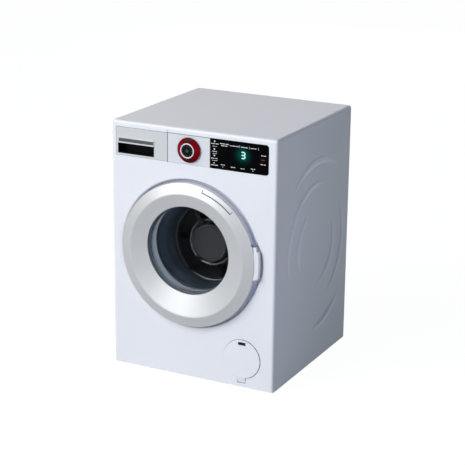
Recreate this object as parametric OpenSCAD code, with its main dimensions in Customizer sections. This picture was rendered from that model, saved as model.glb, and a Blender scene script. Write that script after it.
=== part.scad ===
// Toy front-loading washing machine.
// Frame: X to the viewer's right, Y to the back, Z up; origin on the ground
// under the middle of the bounding box. The front faces -Y.

/* [Cabinet] */
// Width of the cabinet
body_w = 184; // [180:1:190]
// Depth of the cabinet without the door
body_d = 178; // [174:1:184]
// Height from the ground to the top
body_h = 260; // [258:1:264]
// Wall thickness of the mouldings
wall = 2.4; // [2.2:0.1:2.6]
// Radius of the rounded outer edges
edge_r = 3; // [2.6:0.1:3.4]
// Height of the rubber feet under the cabinet
foot_h = 1.5; // [1:0.1:2]

/* [Door] */
// Door axis, from the middle of the front
door_x = -3; // [-3.5:0.1:-2.5]
// Door axis above the ground
door_z = 132; // [131:0.5:133]
// Outer radius of the silver ring
ring_r = 74.5; // [74:0.1:74.8]
// Radius of the ring's crest
crest_r = 63.5; // [62:0.5:65]
// Height of the crest over the front face
crest_h = 9.5; // [8.5:0.1:9.5]
// Radius of the window opening
port_r = 46; // [45.4:0.1:46.2]
// How far the window sits above the door axis
port_up = 4.6; // [4.2:0.1:4.8]
// Door swing when fully open
door_swing = 105; // [90:1:105]

/* [Drum] */
// Drum axis above the ground
drum_z = 132; // [131.8:0.1:132.4]
// Radius of the hub disc at the back of the drum
hub_r = 20.3; // [19:0.1:20.6]
// Teeth of the drum gear
drum_teeth = 48; // [48:1:48]
// Teeth of the idler's small gear
idler_small_teeth = 12; // [12:1:12]
// Teeth of the idler's large gear
idler_large_teeth = 40; // [40:1:40]
// Teeth of the motor pinion
pinion_teeth = 10; // [10:1:10]

/* [Control strip] */
// Lower edge of the control strip
strip_low = 224; // [223.5:0.1:224.5]
// Upper edge of the control strip
strip_high = 254; // [253.5:0.1:254.2]
// Left edge of the drawer front
drawer_left = -86.6; // [-87:0.1:-86]
// Seam between drawer and control fascia
seam_x = -27.8; // [-28.5:0.1:-27]
// Left edge of the display
display_left = 19.6; // [19:0.1:20]
// Right edge of the display
display_right = 82.7; // [82:0.1:83]
// Knob axis, from the middle of the front
knob_x = -3.5; // [-4:0.1:-3]
// Radius of the knob's red skirt
knob_r = 12.6; // [12:0.1:13]
// Travel of the drawer
drawer_travel = 55; // [40:1:60]
// Travel of the start button
button_travel = 1.2; // [0.8:0.1:1.4]

/* [Service flap] */
// Middle of the flap, from the middle of the front
flap_x = 56.8; // [56:0.1:58]
// Middle of the flap above the ground
flap_z = 31.4; // [31:0.1:31.5]
// Radius of the flap's opening
flap_r = 20.6; // [20:0.1:21]

/* [Hidden] */
$fn = 96;

gap = 0.3;                                   // free play between moving mouldings
seat = 0.02;                                 // play between pieces fixed to each other
front_y = -(body_d + crest_h) / 2 + crest_h; // plane of the front face
back_y = front_y + body_d;
flange_d = 9;                                // depth of the front panel's side walls
rim_d = 4;                                   // depth of the back panel's rim
knob_z = (strip_low + strip_high) / 2;
port_z = door_z + port_up;

white_plastic = "whitesmoke";
grey_plastic = "gainsboro";
dark_plastic = "dimgray";
black_plastic = "black";
silver_paint = "silver";
steel = "lightslategray";

// ---- helpers ----

// A flat shape drawn in X and Z, as a plate from y0 to y0 + t.
module slab(y0, t) {
  translate([0, y0 + t, 0]) rotate([90, 0, 0]) linear_extrude(t) children();
}

// A profile of (radius, height over the front face), turned about a Y axis.
module turned(x, z) {
  translate([x, front_y, z]) rotate([90, 0, 0]) rotate_extrude() children();
}

// The same, swept only from angle a0 to a1, counted from +X upwards.
module swept(x, z, a0, a1) {
  translate([x, front_y, z]) rotate([90, 0, 0]) rotate([0, 0, a0])
    rotate_extrude(angle = a1 - a0) children();
}

// A round bar along Y: heights are measured over the front face.
module bar(x, z, r, h0, h1) {
  translate([x, front_y - h0, z]) rotate([90, 0, 0]) cylinder(r = r, h = h1 - h0);
}

// A box given by its corners, the middle pair being heights over the front face.
module block(x0, x1, h0, h1, z0, z1) {
  translate([x0, front_y - h1, z0]) cube([x1 - x0, h1 - h0, z1 - z0]);
}

// A rectangle with round corners, from its lower left corner.
module round_rect(w, h, r) {
  translate([r, 0]) square([w - 2 * r, h]);
  translate([0, r]) square([w, h - 2 * r]);
  for (x = [r, w - r], y = [r, h - r]) translate([x, y]) circle(r);
}

function polar(r, a) = [r * cos(a), r * sin(a)];

// ---- involute gears ----

gear_mod = 1;                                // module of every gear
pressure = 20;                               // pressure angle
backlash = 0.16;                             // play at the pitch circle
layer_a = -69;                               // rear face of the drum gear
layer_b = -77;                               // rear face of the large idler gear
gear_w = 6;                                  // face width
centre_a = gear_mod * (drum_teeth + idler_small_teeth) / 2;
centre_b = gear_mod * (idler_large_teeth + pinion_teeth) / 2;
idler_z = drum_z - centre_a;
motor_z = idler_z - centre_b;

function deg(rad) = rad * 180 / PI;
function involute_point(rb, t) = [rb * (cos(t) + t * PI / 180 * sin(t)),
                                  rb * (sin(t) - t * PI / 180 * cos(t))];
function involute_roll(rb, r) = r > rb ? deg(sqrt(pow(r / rb, 2) - 1)) : 0;
function turn(p, a) = [p[0] * cos(a) - p[1] * sin(a), p[0] * sin(a) + p[1] * cos(a)];

// Half of a tooth's angle at the base circle.
function half_tooth(n) = let (rp = gear_mod * n / 2)
  90 / n - deg(backlash / 2 / rp) + deg(tan(pressure)) - pressure;

// One flank from root to tip, on the low-angle side of a tooth centred on angle 0.
function flank(n) = let (
    rp = gear_mod * n / 2,
    rb = rp * cos(pressure),
    ra = rp + 0.95 * gear_mod,
    rr = rp - 1.2 * gear_mod,
    steps = 4)
  concat([polar(rr, -half_tooth(n) - (rr < rb ? 0 : 1))],
    [for (i = [0:steps]) let (r = max(rb, rr) + (ra - max(rb, rr)) * i / steps)
      turn(involute_point(rb, involute_roll(rb, r)), -half_tooth(n))]);

function tooth(n) = let (f = flank(n)) concat(f, [for (i = [len(f) - 1:-1:0]) [f[i][0], -f[i][1]]]);

// A gear's outline; tooth 0 is centred on the given angle.
module gear_outline(n, a0) {
  polygon([for (k = [0:n - 1], p = tooth(n)) turn(p, a0 + 360 / n * k)]);
}

module gear(x, z, n, a0, rear, bore) {
  difference() {
    translate([x, front_y - rear, z]) rotate([90, 0, 0]) linear_extrude(gear_w) gear_outline(n, a0);
    bar(x, z, bore, rear - 1, rear + gear_w + 1);
  }
}

// ---- cabinet ----

recess_r = 77.8;                             // edge of the door's dish in the front
recess_d = 3.4;                              // depth of that dish
dish_t = 2.2;                                // thickness of its floor
// [offset to the right, offset up, radius] of the dish's bulge behind the handle
bulges = [[17, -1.5, 62.8], [36, 0, 45.7]];
pocket_d = 5.6;                              // depth of the finger pocket in the bulge
pocket_half = 21;
mouth_r = 50.5;                              // hole in the dish, on the window axis
fascia_d = 1.8;                              // depth of the fascia's pocket
flap_pocket_d = 11;

// Outer form of the front panel: a tray with rounded front and top edges.
module front_form() {
  hw = body_w / 2;
  r = edge_r;
  translate([-hw + r, front_y, foot_h]) cube([body_w - 2 * r, flange_d, body_h - foot_h - r]);
  translate([-hw, front_y + r, foot_h]) cube([body_w, flange_d - r, body_h - foot_h - r]);
  translate([-hw + r, front_y + r, foot_h]) cube([body_w - 2 * r, flange_d - r, body_h - foot_h]);
  translate([-hw + r, front_y + r, body_h - r]) rotate([0, 90, 0]) cylinder(r = r, h = body_w - 2 * r);
  for (s = [-1, 1]) translate([s * (hw - r), front_y + r, 0]) {
    translate([0, 0, foot_h]) cylinder(r = r, h = body_h - foot_h - r);
    translate([0, 0, body_h - r]) sphere(r);
    translate([0, 0, body_h - r]) rotate([-90, 0, 0]) cylinder(r = r, h = flange_d - r);
  }
}

// A turned hollow of the given depth whose edge rolls over softly.
module soft_hollow(x, z, r, run, depth) {
  steps = 6;
  turned(x, z) polygon(concat([[0, 1], [r + run * 0.35, 1]],
    [for (i = [0:steps]) let (a = 90 * i / steps) [r + run * (0.35 - sin(a)), -depth * (1 - cos(a))]],
    [[0, -depth]]));
}

// The dish around the door with its bulge and finger pocket, as a solid to cut out.
module dish_cut() {
  soft_hollow(door_x, door_z, recess_r, 2.6, recess_d);
  for (b = bulges) soft_hollow(door_x + b[0], door_z + b[1], b[2], 3, recess_d);
  intersection() {
    bar(door_x + bulges[1][0], door_z, bulges[1][2] - 0.8, -pocket_d, 0);
    block(door_x + 69.5, door_x + 90, -pocket_d, 0, door_z - pocket_half, door_z + pocket_half);
  }
}

hinge_x = door_x - 70.6;                     // axis of the door hinge
hinge_h = 2;                                 // its height over the front face
lug_r = 2.6;
lug_z0 = 11;                                 // each lug runs from here ...
lug_z1 = 17;                                 // ... to here, off the door's middle height
tongue_x = door_x + 62;
flap_axis_h = -1.3;                          // axis of the flap's hinge
flap_axis_z = 7;
tab_x0 = flap_x - 5;
tab_x1 = flap_x + 4.5;
tab_low = 5.3;
flap_up = 0.9;                               // how far the flap stands proud of the front
post_xz = [[-20, 228], [-20, 250.5], [76, 228], [76, 250.5]];

module front_panel() color(white_plastic) difference() {
  union() {
    difference() {
      front_form();
      translate([-body_w / 2 + wall, front_y + wall, foot_h - 1])
        cube([body_w - 2 * wall, flange_d, body_h - wall - foot_h + 1]);
    }
    bar(door_x, door_z, recess_r + 2, -recess_d - dish_t, -1);
    for (b = bulges) bar(door_x + b[0], door_z + b[1], b[2] + 2, -recess_d - dish_t, -1);
    intersection() {
      bar(door_x + bulges[1][0], door_z, bulges[1][2] + 1, -pocket_d - 1.8, -1);
      block(door_x + 67.7, door_x + 90, -pocket_d - 1.8, -1,
        door_z - pocket_half - 2, door_z + pocket_half + 2);
    }
    bar(flap_x, flap_z, flap_r + 2, -flap_pocket_d - 2, -1);
    block(tab_x0 - 2, tab_x1 + 2, -flap_pocket_d - 2, -1, 4.1, flap_z);
    block(seam_x, display_right + 2, -4, -1, strip_low - 2, strip_high + 2);
    for (p = post_xz) bar(p[0], p[1], 2.4, -9.5, -1);
  }
  dish_cut();
  bar(door_x, port_z, mouth_r, -20, 1);
  // slots for the hinge lugs and the door's tongue
  for (s = [-1, 1]) block(hinge_x - lug_r - 0.5, hinge_x + lug_r + 0.5, -20, 1,
    door_z + s * (lug_z0 + lug_z1) / 2 - (lug_z1 - lug_z0) / 2 - 0.4,
    door_z + s * (lug_z0 + lug_z1) / 2 + (lug_z1 - lug_z0) / 2 + 0.4);
  block(tongue_x - 2.4, tongue_x + 2.4, -20, 1, door_z - 8.4, door_z + 8.4);
  // drawer opening, fascia pocket and the holes behind it
  block(drawer_left - gap, seam_x, -20, 1, strip_low + 0.3, strip_high - 0.3);
  translate([0, front_y + fascia_d, 0]) rotate([90, 0, 0]) linear_extrude(fascia_d + 1) {
    translate([display_right + 0.2 - 20, strip_low]) round_rect(20, strip_high - strip_low, 3);
    translate([seam_x - 1, strip_low]) square([display_right - 9 - seam_x, strip_high - strip_low]);
  }
  bar(knob_x, knob_z, 10.5, -20, 1);
  block(34, 66, -20, 1, 230.5, 247.5);
  for (p = post_xz) bar(p[0], p[1], 1, -10, -5);
  // seam from the drawer to the top edge
  block(seam_x - 0.2, seam_x + 0.2, -0.4, 1, strip_high - 0.5, body_h - edge_r - 0.1);
  // flap pocket with the tab's notch and the pin holes
  bar(flap_x, flap_z, flap_r, -flap_pocket_d, 1);
  block(tab_x0, tab_x1, -flap_pocket_d, 1, tab_low, flap_z);
  translate([tab_x0 - 1.4, front_y - flap_axis_h, flap_axis_z]) rotate([0, 90, 0])
    cylinder(r = 0.86, h = tab_x1 - tab_x0 + 2.8, $fn = 32);
}

ridge_w = 4.2;                               // half width of a swirl ridge
ridge_h = 1.2;
swirl_y = front_y + 96;                      // middle of the swirl on the side walls
swirl_z = 129;
// [ring radius, first angle, last angle], angles from the back, upwards
ridges = [[42, 118, 214], [42, -88, 30], [66, 66, 216], [66, -62, 32], [89, 52, 132], [89, -92, -50]];

// One raised ridge with tapering ends, on the plane X = 0.
module ridge(r, a0, a1) {
  bulk = (pow(ridge_w, 2) + pow(ridge_h, 2)) / (2 * ridge_h);
  lean = deg(ridge_h / r / (1 - cos((a1 - a0) / 2)));
  mid = (a0 + a1) / 2;
  intersection() {
    translate([-0.5, -r - 20, -r - 20]) cube([3, 2 * r + 40, 2 * r + 40]);
    // the ring leans about its own middle so that both ends sink into the wall
    rotate([mid, 0, 0]) translate([0, r, 0]) rotate([0, 0, -lean]) translate([0, -r, 0])
      rotate([0, 90, 0]) translate([0, 0, ridge_h - bulk]) rotate_extrude($fn = 96)
        translate([r, 0]) circle(bulk, $fn = 64);
    rotate([mid, 0, 0]) translate([-1, 0, 0]) rotate([0, 90, 0]) linear_extrude(4)
      polygon(concat([[0, 0]], [for (i = [-4:4]) let (a = (a1 - a0) / 8 * i)
        [-sin(a) * (r + 15), cos(a) * (r + 15)]]));
  }
}

// Top and sides in one moulding, with the swirl ridges on both sides.
module cabinet() color(white_plastic) {
  y0 = front_y + flange_d;
  len = body_d - flange_d - rim_d;
  difference() {
    slab(y0, len) {
      translate([-body_w / 2, foot_h]) square([body_w, body_h - foot_h - edge_r]);
      translate([-body_w / 2, body_h - 4 * edge_r]) round_rect(body_w, 4 * edge_r, edge_r);
    }
    translate([-body_w / 2 + wall, y0 - 1, foot_h - 1])
      cube([body_w - 2 * wall, len + 2, body_h - wall - foot_h + 1]);
  }
  for (s = [0, 1]) mirror([s, 0, 0]) for (q = ridges)
    translate([body_w / 2, swirl_y, swirl_z]) ridge(q[0], q[1], q[2]);
}

bay_x = 29;                                  // half width of the battery opening
bay_z0 = 26;
bay_z1 = 92;
speaker_x = 0;
speaker_z = 186;
screw_xz = [[-80, 14], [80, 14], [-80, 130], [80, 130], [-80, 246], [80, 246]];

// Rear cover with speaker holes, air slots, screw wells and the battery opening.
module back_panel() color(white_plastic) difference() {
  union() {
    difference() {
      slab(back_y - rim_d, rim_d) {
        translate([-body_w / 2, foot_h]) square([body_w, body_h - foot_h - edge_r]);
        translate([-body_w / 2, body_h - 4 * edge_r]) round_rect(body_w, 4 * edge_r, edge_r);
      }
      translate([-body_w / 2 + wall, back_y - rim_d - 1, foot_h - 1])
        cube([body_w - 2 * wall, rim_d + 1 - wall, body_h - wall - foot_h + 1]);
    }
    for (p = screw_xz) translate([p[0], back_y - 8, p[1]]) rotate([-90, 0, 0]) cylinder(r = 4.6, h = 7);
  }
  translate([-bay_x, back_y - 10, bay_z0]) cube([2 * bay_x, 20, bay_z1 - bay_z0]);
  for (p = screw_xz) translate([p[0], back_y, p[1]]) rotate([90, 0, 0]) {
    translate([0, 0, -1]) cylinder(r = 3.4, h = 4, $fn = 32);
    cylinder(r = 1.7, h = 10, $fn = 32);
  }
  for (ring = [[0, 1], [5, 6], [10, 12], [15, 18]], k = [0:ring[1] - 1])
    translate([speaker_x + ring[0] * cos(360 / ring[1] * k), back_y + 1,
      speaker_z + ring[0] * sin(360 / ring[1] * k)])
      rotate([90, 0, 0]) cylinder(r = 1.1, h = 5, $fn = 16);
  for (x = [-58, 38], k = [0:6])
    translate([x, back_y - 5, 112 + 6 * k]) cube([20, 8, 2.2]);
}

foot_xy = [[-74, front_y + 16], [74, front_y + 16], [-74, back_y - 16], [74, back_y - 16]];
foot_r = 7;

module base_plate() color(white_plastic) difference() {
  union() {
    translate([-body_w / 2 + wall + seat, front_y + flange_d, foot_h])
      cube([body_w - 2 * wall - 2 * seat, body_d - flange_d - rim_d, wall]);
    translate([-body_w / 2 + wall + seat, front_y + wall + seat, foot_h])
      cube([body_w - 2 * wall - 2 * seat, flange_d, 1.8]);
    for (k = [0:3]) translate([-80, front_y + 30 + 36 * k, foot_h]) cube([160, 1.6, 6]);
    for (p = foot_xy) translate([p[0], p[1], foot_h]) cylinder(r = 5, h = 4);
  }
  for (p = foot_xy) translate([p[0], p[1], 0]) cylinder(r = 2.5, h = 10, $fn = 32);
}

// Four rubber feet pushed into the base from below.
module feet() color(dark_plastic) for (p = foot_xy) translate([p[0], p[1], 0]) {
  cylinder(r1 = foot_r - 0.6, r2 = foot_r, h = 0.6);
  translate([0, 0, 0.6]) cylinder(r = foot_r, h = foot_h - 0.6 - seat);
  cylinder(r = 2.5 - seat, h = 6, $fn = 32);
}

// ---- control strip ----

module control_fascia() color(grey_plastic) difference() {
  translate([0, front_y + fascia_d - seat, 0]) rotate([90, 0, 0]) linear_extrude(1.4) {
    translate([display_right - 20, strip_low + 0.2]) round_rect(20, strip_high - strip_low - 0.4, 2.8);
    translate([seam_x + 0.2, strip_low + 0.2])
      square([display_right - 9 - seam_x, strip_high - strip_low - 0.4]);
  }
  bar(knob_x, knob_z, 6.4, -5, 1);
  block(37, 63, -5, 1, 232, 246);
}

// Black lens over the right of the fascia, square on the left and round on the right.
module display_window() color(black_plastic)
  translate([0, front_y + fascia_d - 1.4 - 2 * seat, 0]) rotate([90, 0, 0]) linear_extrude(0.8) {
    translate([display_right - 20, strip_low + 0.2]) round_rect(20, strip_high - strip_low - 0.4, 2.8);
    translate([display_left, strip_low + 0.2])
      square([display_right - 9 - display_left, strip_high - strip_low - 0.4]);
  }

// Light box behind the display's digit.
module display_led() color(white_plastic) difference() {
  block(37.4, 62.6, -9.5, -0.6, 232.4, 245.6);
  block(39, 61, -8, 0, 234, 244);
}

module circuit_board() color("seagreen") difference() {
  block(-25, 80, -11.2, -9.6, 223.5, 255);
  bar(knob_x, knob_z, 2.2, -15, 0);
  for (p = post_xz) bar(p[0], p[1], 1, -12, -9);
}

module rotary_switch() color(dark_plastic) difference() {
  union() {
    bar(knob_x, knob_z, 9.6, -5.4, -3);
    block(knob_x - 9.6, knob_x + 9.6, -9.55, -5.4, knob_z - 9.6, knob_z + 9.6);
  }
  bar(knob_x, knob_z, 5.1, -9, 1);
}

// Dial: a red flared skirt, a silver collar and a hollow shaft that turns the switch.
module knob_skirt() color("firebrick") turned(knob_x, knob_z)
  polygon([[7.02, 0.3], [knob_r - 0.4, 0.3], [knob_r, 0.7], [knob_r, 1.2], [knob_r - 0.4, 1.5],
    [11, 1.9], [9.7, 2.6], [8.7, 3.4], [8, 4], [7.02, 4]]);

module knob_collar() color(silver_paint) turned(knob_x, knob_z)
  polygon([[6.45, 1.7], [7, 1.7], [7, 4.02], [7.5, 4.02], [7.5, 4.5], [7.2, 4.9], [6.75, 4.9],
    [6.45, 4.6]]);

module knob_shaft() color(black_plastic) turned(knob_x, knob_z)
  polygon([[3.8, -8.6], [5, -8.6], [5, -1.6], [6.1, -1.6], [6.1, 0.3], [6.98, 0.3], [6.98, 1.68],
    [3.8, 1.68]]);

// Press-to-start cap in the middle of the dial, and the rod behind it that works the switch.
module start_button() color(black_plastic) turned(knob_x, knob_z)
  polygon([[0, 3.9], [3.5, 3.9], [3.5, 3.2], [6.15, 3.2], [6.15, 4], [5.8, 4.35], [4, 4.6], [0, 4.75]]);

module button_plunger() color(dark_plastic) turned(knob_x, knob_z)
  polygon([[0, -7.4], [3.5 - seat, -7.4], [3.5 - seat, 3.9 - seat], [0, 3.9 - seat]]);

// ---- detergent drawer ----

grip_x0 = -84.7;                             // left and right edge of the grip recess
grip_x1 = -43.2;
grip_z0 = 226.6;
grip_z1 = 237.2;
grip_d = 10;                                 // depth of the grip recess
tray_back = -80;                             // rear end of the tray

module drawer_front() color(grey_plastic) difference() {
  block(drawer_left, seam_x - gap, -wall, 0, strip_low + 0.6, strip_high - 0.6);
  block(grip_x0, grip_x1, -5, 1, grip_z0, grip_z1);
}

// Black cup that the fingers pull in.
module drawer_grip() color(black_plastic) difference() {
  block(grip_x0 + seat, grip_x1 - seat, -grip_d, 0, grip_z0 + seat, grip_z1 - seat);
  block(grip_x0 + 1, grip_x1 - 1, -grip_d + 1.2, 1, grip_z0 + 1, grip_z1 + 1);
  block(-85, grip_x1 + 1, -grip_d - 1, -4, grip_z1 - 0.9, grip_z1 + 1);
}

// Silver strip over the grip with a shallow inset field.
module drawer_trim() color(silver_paint) difference() {
  block(grip_x0, grip_x1, seat, 0.9, grip_z1 + 0.1, 243.3);
  block(grip_x0 + 1.4, grip_x1 - 0.4, 0.6, 2, grip_z1 + 1.3, 242.2);
}

// Open tray with three compartments.
module drawer_tray() color(grey_plastic) difference() {
  block(drawer_left + 1, seam_x - 1.2, tray_back, -wall - seat, strip_low + 1.6, 250.6);
  block(drawer_left + 2.6, seam_x - 2.8, -grip_d - 1, 0, strip_low + 3.2, 260);
  block(grip_x0 - seat, grip_x1 + seat, -grip_d - seat, 0, grip_z0, 260);
  for (k = [0, 1, 2]) block(drawer_left + 2.6 + 18.3 * k, drawer_left + 2.6 + 18.3 * k + 16.8,
    tray_back + 1.6, -grip_d - 2.6, strip_low + 3.2, 260);
}

// Guide duct behind the front panel.
module drawer_housing() color(white_plastic) difference() {
  block(drawer_left - 1.9, seam_x + 1.6, -86, -wall - seat, strip_low - 1.2, strip_high + 1.2);
  block(drawer_left - gap, seam_x, -84.6, 0, strip_low + 0.3, strip_high - 0.3);
  block(seam_x - 1, seam_x + 3, -4.1, 0, strip_low - 3, strip_high + 3);
}

// ---- door ----

cone_drop = 5.5;                             // fall of the inner cone from crest to window
cone_run = 18.5;
ring_t = 1.6;                                // thickness of the ring moulding
rim_h = 5.8;                                 // height of the ring's outer edge

label_a0 = 46;                               // ends of the ring's label field
label_a1 = 75.5;

function cone_h(r) = crest_h - (crest_r - r) * cone_drop / cone_run;

module door_ring() color(silver_paint) difference() {
  turned(door_x, door_z) polygon([[ring_r, rim_h - 0.9], [ring_r, rim_h - 0.3], [ring_r - 0.4, rim_h],
    [crest_r + 1, crest_h - 0.15], [crest_r, crest_h], [crest_r - 1, cone_h(crest_r - 1) + 0.1],
    [38, cone_h(38)], [38, cone_h(38) - ring_t], [crest_r, crest_h - ring_t], [ring_r - 2.2, rim_h - 0.9]]);
  bar(door_x, port_z, port_r, -10, 20);
  // arc-shaped label field, only outlined and left bare
  swept(door_x, door_z, label_a0 - 0.2, label_a1 + 0.2)
    polygon([[69.5, 6.7], [70.2, 6.45], [70.2, 9], [69.5, 9]]);
  for (a = [label_a0, label_a1]) swept(door_x, door_z, a - 0.27, a + 0.27)
    polygon([[69.8, 6.72], [73, 5.5], [73, 9], [69.8, 9]]);
  // notch where the handle's upper end enters
  translate([door_x, front_y - 20, door_z]) rotate([-90, 0, 0]) mirror([0, 1, 0]) linear_extrude(20)
    polygon([polar(73.3, 16.8), polar(76, 17.6), polar(76, 15.6)]);
}

shell_r = 74.2;
shell_low = -2.4;                            // rear face of the door
barrel_z = 10.6;                             // half height of the hinge barrel

// White rear half of the door, with the hinge barrel.
module door_shell() color(white_plastic) difference() {
  union() {
    difference() {
      turned(door_x, door_z) polygon([[40, shell_low], [shell_r - 1.5, shell_low], [shell_r, shell_low + 1.5],
        [shell_r, 3.5], [shell_r - 1, 3.5], [shell_r - 1, rim_h - 0.9 - seat],
        [shell_r - 1.9, rim_h - 0.9 - seat], [shell_r - 1.9, shell_low + 1.8],
        [54.6, shell_low + 1.8], [54.6, 4.4], [53, 4], [53, shell_low + 1.8], [40, shell_low + 1.8]]);
      block(hinge_x - 10, hinge_x + 5, -10, 20, door_z - lug_z1 - 0.6, door_z + lug_z1 + 0.6);
      // opening for the handle in the outer wall
      slab(front_y - 20, 19.4) translate([door_x, door_z]) polygon([[68.4, -16.5], [74, -14.6],
        [82, -12], [82, handle_top + 2.4], [68.4, handle_top + 2.4]]);
    }
    translate([hinge_x, front_y - hinge_h, door_z - barrel_z]) cylinder(r = 2.5, h = 2 * barrel_z);
    block(hinge_x, hinge_x + 8, shell_low + 0.6, hinge_h + 1.5, door_z - barrel_z, door_z + barrel_z);
    block(hinge_x + 5, hinge_x + 8, shell_low, hinge_h + 1.5, door_z - lug_z1 - 0.6, door_z + lug_z1 + 0.6);
    block(tongue_x - 4, tongue_x + 4, shell_low, 2, door_z - 9, door_z + 9);
  }
  translate([hinge_x, front_y - hinge_h, door_z - 20]) cylinder(r = 1.3, h = 40, $fn = 48);
  bar(door_x, port_z, port_r + 2, -20, 20);
  block(tongue_x - 1.5, tongue_x + 1.5, -20, 1, door_z - 6, door_z + 6);
}

// Dark frame around the window, stepped inside to hold the lens.
module window_bezel() color(dark_plastic) intersection() {
  turned(door_x, port_z)
    polygon([[port_r - 1.2, -6.2], [port_r + 1.9, -6.2], [port_r + 1.9, 12], [port_r + 0.1, 12],
      [port_r + 0.1, -2], [port_r - 1.2, -2]]);
  turned(door_x, door_z)
    polygon([[0, -10], [90, -10], [90, cone_h(crest_r)], [crest_r, crest_h - ring_t - seat],
      [38, cone_h(38) - ring_t - seat], [0, cone_h(38) - ring_t - seat]]);
}

lens_t = 1.5;
lens_sag = 7;                                // how far the bowl goes into the door
bowl_r = 41.9;

// Clear window, a shallow bowl towards the drum.
module window_lens() color("lightcyan", 0.35) turned(door_x, port_z) {
  ball = (pow(bowl_r, 2) + pow(lens_sag, 2)) / (2 * lens_sag);
  span = asin(bowl_r / ball);
  top = -2 + lens_t;
  polygon(concat([[port_r, -2 + seat], [port_r, top], [bowl_r + 0.5, top]],
    [for (i = [9:-1:0]) let (a = span * i / 9) [ball * sin(a), top + ball * (cos(span) - cos(a))]],
    [for (i = [0:9]) let (a = span * i / 9) [ball * sin(a), -2 + seat + ball * (cos(span) - cos(a))]]));
}

handle_top = 19.4;                           // upper end of the handle's tab
handle_low = -15;                            // lower end of its foot
handle_r = 95;                               // radius of its outer edge

// Pull handle set into the edge of the door: a slanting plate, a tab above it and a foot behind.
module door_handle() color(white_plastic) {
  x0 = door_x + 68.8;
  difference() {
    intersection() {
      turned(door_x + 79.9 - handle_r, door_z + 1.5) polygon([[0, 0], [handle_r, 0], [handle_r, 4],
        [handle_r - 0.7, 4.7], [handle_r - 0.7, 8], [0, 8]]);
      slab(front_y - 8, 8) translate([door_x, door_z])
        polygon([[68.8, -15.8], [74, -14], [82, -11.2], [82, 17.6], [74, 14.2], [68.8, 12]]);
      translate([door_x, front_y, door_z - 20]) linear_extrude(40)
        polygon([[68.8, -1.8], [79.6, -1.8], [82, -2.2], [82, -4.5], [73, -5.5], [68.8, -5.5]]);
    }
    turned(door_x, door_z)
      polygon([[0, rim_h - 1], [ring_r + 0.3, rim_h - 1], [ring_r + 0.3, 20], [0, 20]]);
  }
  block(x0, door_x + 76, 1.8, 4.4, door_z + 12, door_z + handle_top);
  block(x0, x0 + 1.3, shell_low + 1.8 + seat, 2, door_z + handle_low, door_z + handle_low + 30);
}

// Snap tongue that holds the door shut.
module door_tongue() color(grey_plastic) {
  block(tongue_x - 1.5 + seat, tongue_x + 1.5 - seat, -9, 1 - seat, door_z - 6 + seat, door_z + 6 - seat);
  translate([tongue_x + 1.2, front_y + 8, door_z - 6 + seat]) cylinder(r = 0.8, h = 12 - 2 * seat, $fn = 32);
}

module door_hinge_bracket() color(grey_plastic) difference() {
  union() {
    for (s = [-1, 1]) translate([0, 0, door_z + s * (lug_z0 + lug_z1) / 2 - (lug_z1 - lug_z0) / 2]) {
      translate([hinge_x, front_y - hinge_h, 0]) cylinder(r = lug_r, h = lug_z1 - lug_z0);
      translate([hinge_x - 1, front_y - hinge_h, 0])
        cube([1 + lug_r, hinge_h + recess_d + dish_t + 1, lug_z1 - lug_z0]);
    }
    block(hinge_x - 7, hinge_x + 7, -recess_d - dish_t - 2.4, -recess_d - dish_t - seat,
      door_z - 24, door_z + 24);
  }
  translate([hinge_x, front_y - hinge_h, door_z - 30]) cylinder(r = 1.26, h = 60, $fn = 48);
}

module door_hinge_pin() color(steel)
  translate([hinge_x, front_y - hinge_h, door_z - lug_z1]) cylinder(r = 1.25, h = 2 * lug_z1, $fn = 48);

// ---- drum and tub ----

lip_h = -20.6;                                 // front edge of the drum
floor_h = -46.5;                               // inner face of the drum's back
tub_r = 60;
tub_back = -54;
bush_r = 5;
shaft_r = 3;

// Soft ring between the front panel and the drum.
module door_seal() color("darkgray") turned(door_x, port_z)
  polygon([[53, -5.62], [53, -7.4], [51.6, -7.8], [49.6, -10.5], [48.8, -15], [48.8, -19.8], [46.3, -19.8],
    [46.1, -19.3], [46.1, -18.5], [46.3, -18], [47.4, -17.6], [47.4, -15.5], [46.3, -15.1], [46, -14.5],
    [46.4, -9.4], [49.4, -7.8], [51, -6.6], [51.4, -5.62]]);

module tub() color(white_plastic) difference() {
  union() {
    turned(door_x, drum_z) polygon([[0, tub_back], [tub_r, tub_back], [tub_r, -8], [tub_r + 3.2, -8],
      [tub_r + 3.2, -5.62], [tub_r - 2, -5.62], [tub_r - 2, tub_back + 2], [0, tub_back + 2]]);
    bar(door_x, drum_z, 9, tub_back - 5, tub_back + 2);
    bar(door_x, idler_z, 5, tub_back - 6, tub_back + 1);
    for (p = drive_posts) bar(p[0], p[1], 4, -80, tub_back + 1);
  }
  bar(door_x, drum_z, bush_r, -70, 0);
  block(tongue_x - 1.9, tongue_x + 5, -10, 0, door_z - 9, door_z + 9);
  bar(door_x, idler_z, 1.51, -70, tub_back - 1);
  for (p = drive_posts) bar(p[0], p[1], 1.25, -90, -66);
}

drive_posts = [[door_x - 27, 150], [door_x + 27, 150], [door_x - 24, 85], [door_x + 24, 85]];

module drum_bearing() color("goldenrod") difference() {
  union() {
    bar(door_x, drum_z, bush_r - seat, tub_back - 6, tub_back + 3.6);
    bar(door_x, drum_z, bush_r + 1.6, tub_back + 2 + seat, tub_back + 3.6);
  }
  bar(door_x, drum_z, shaft_r + 0.05, -80, 0);
}

bead_h = 1.4;                                // height of the drum floor's inner bead

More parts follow.
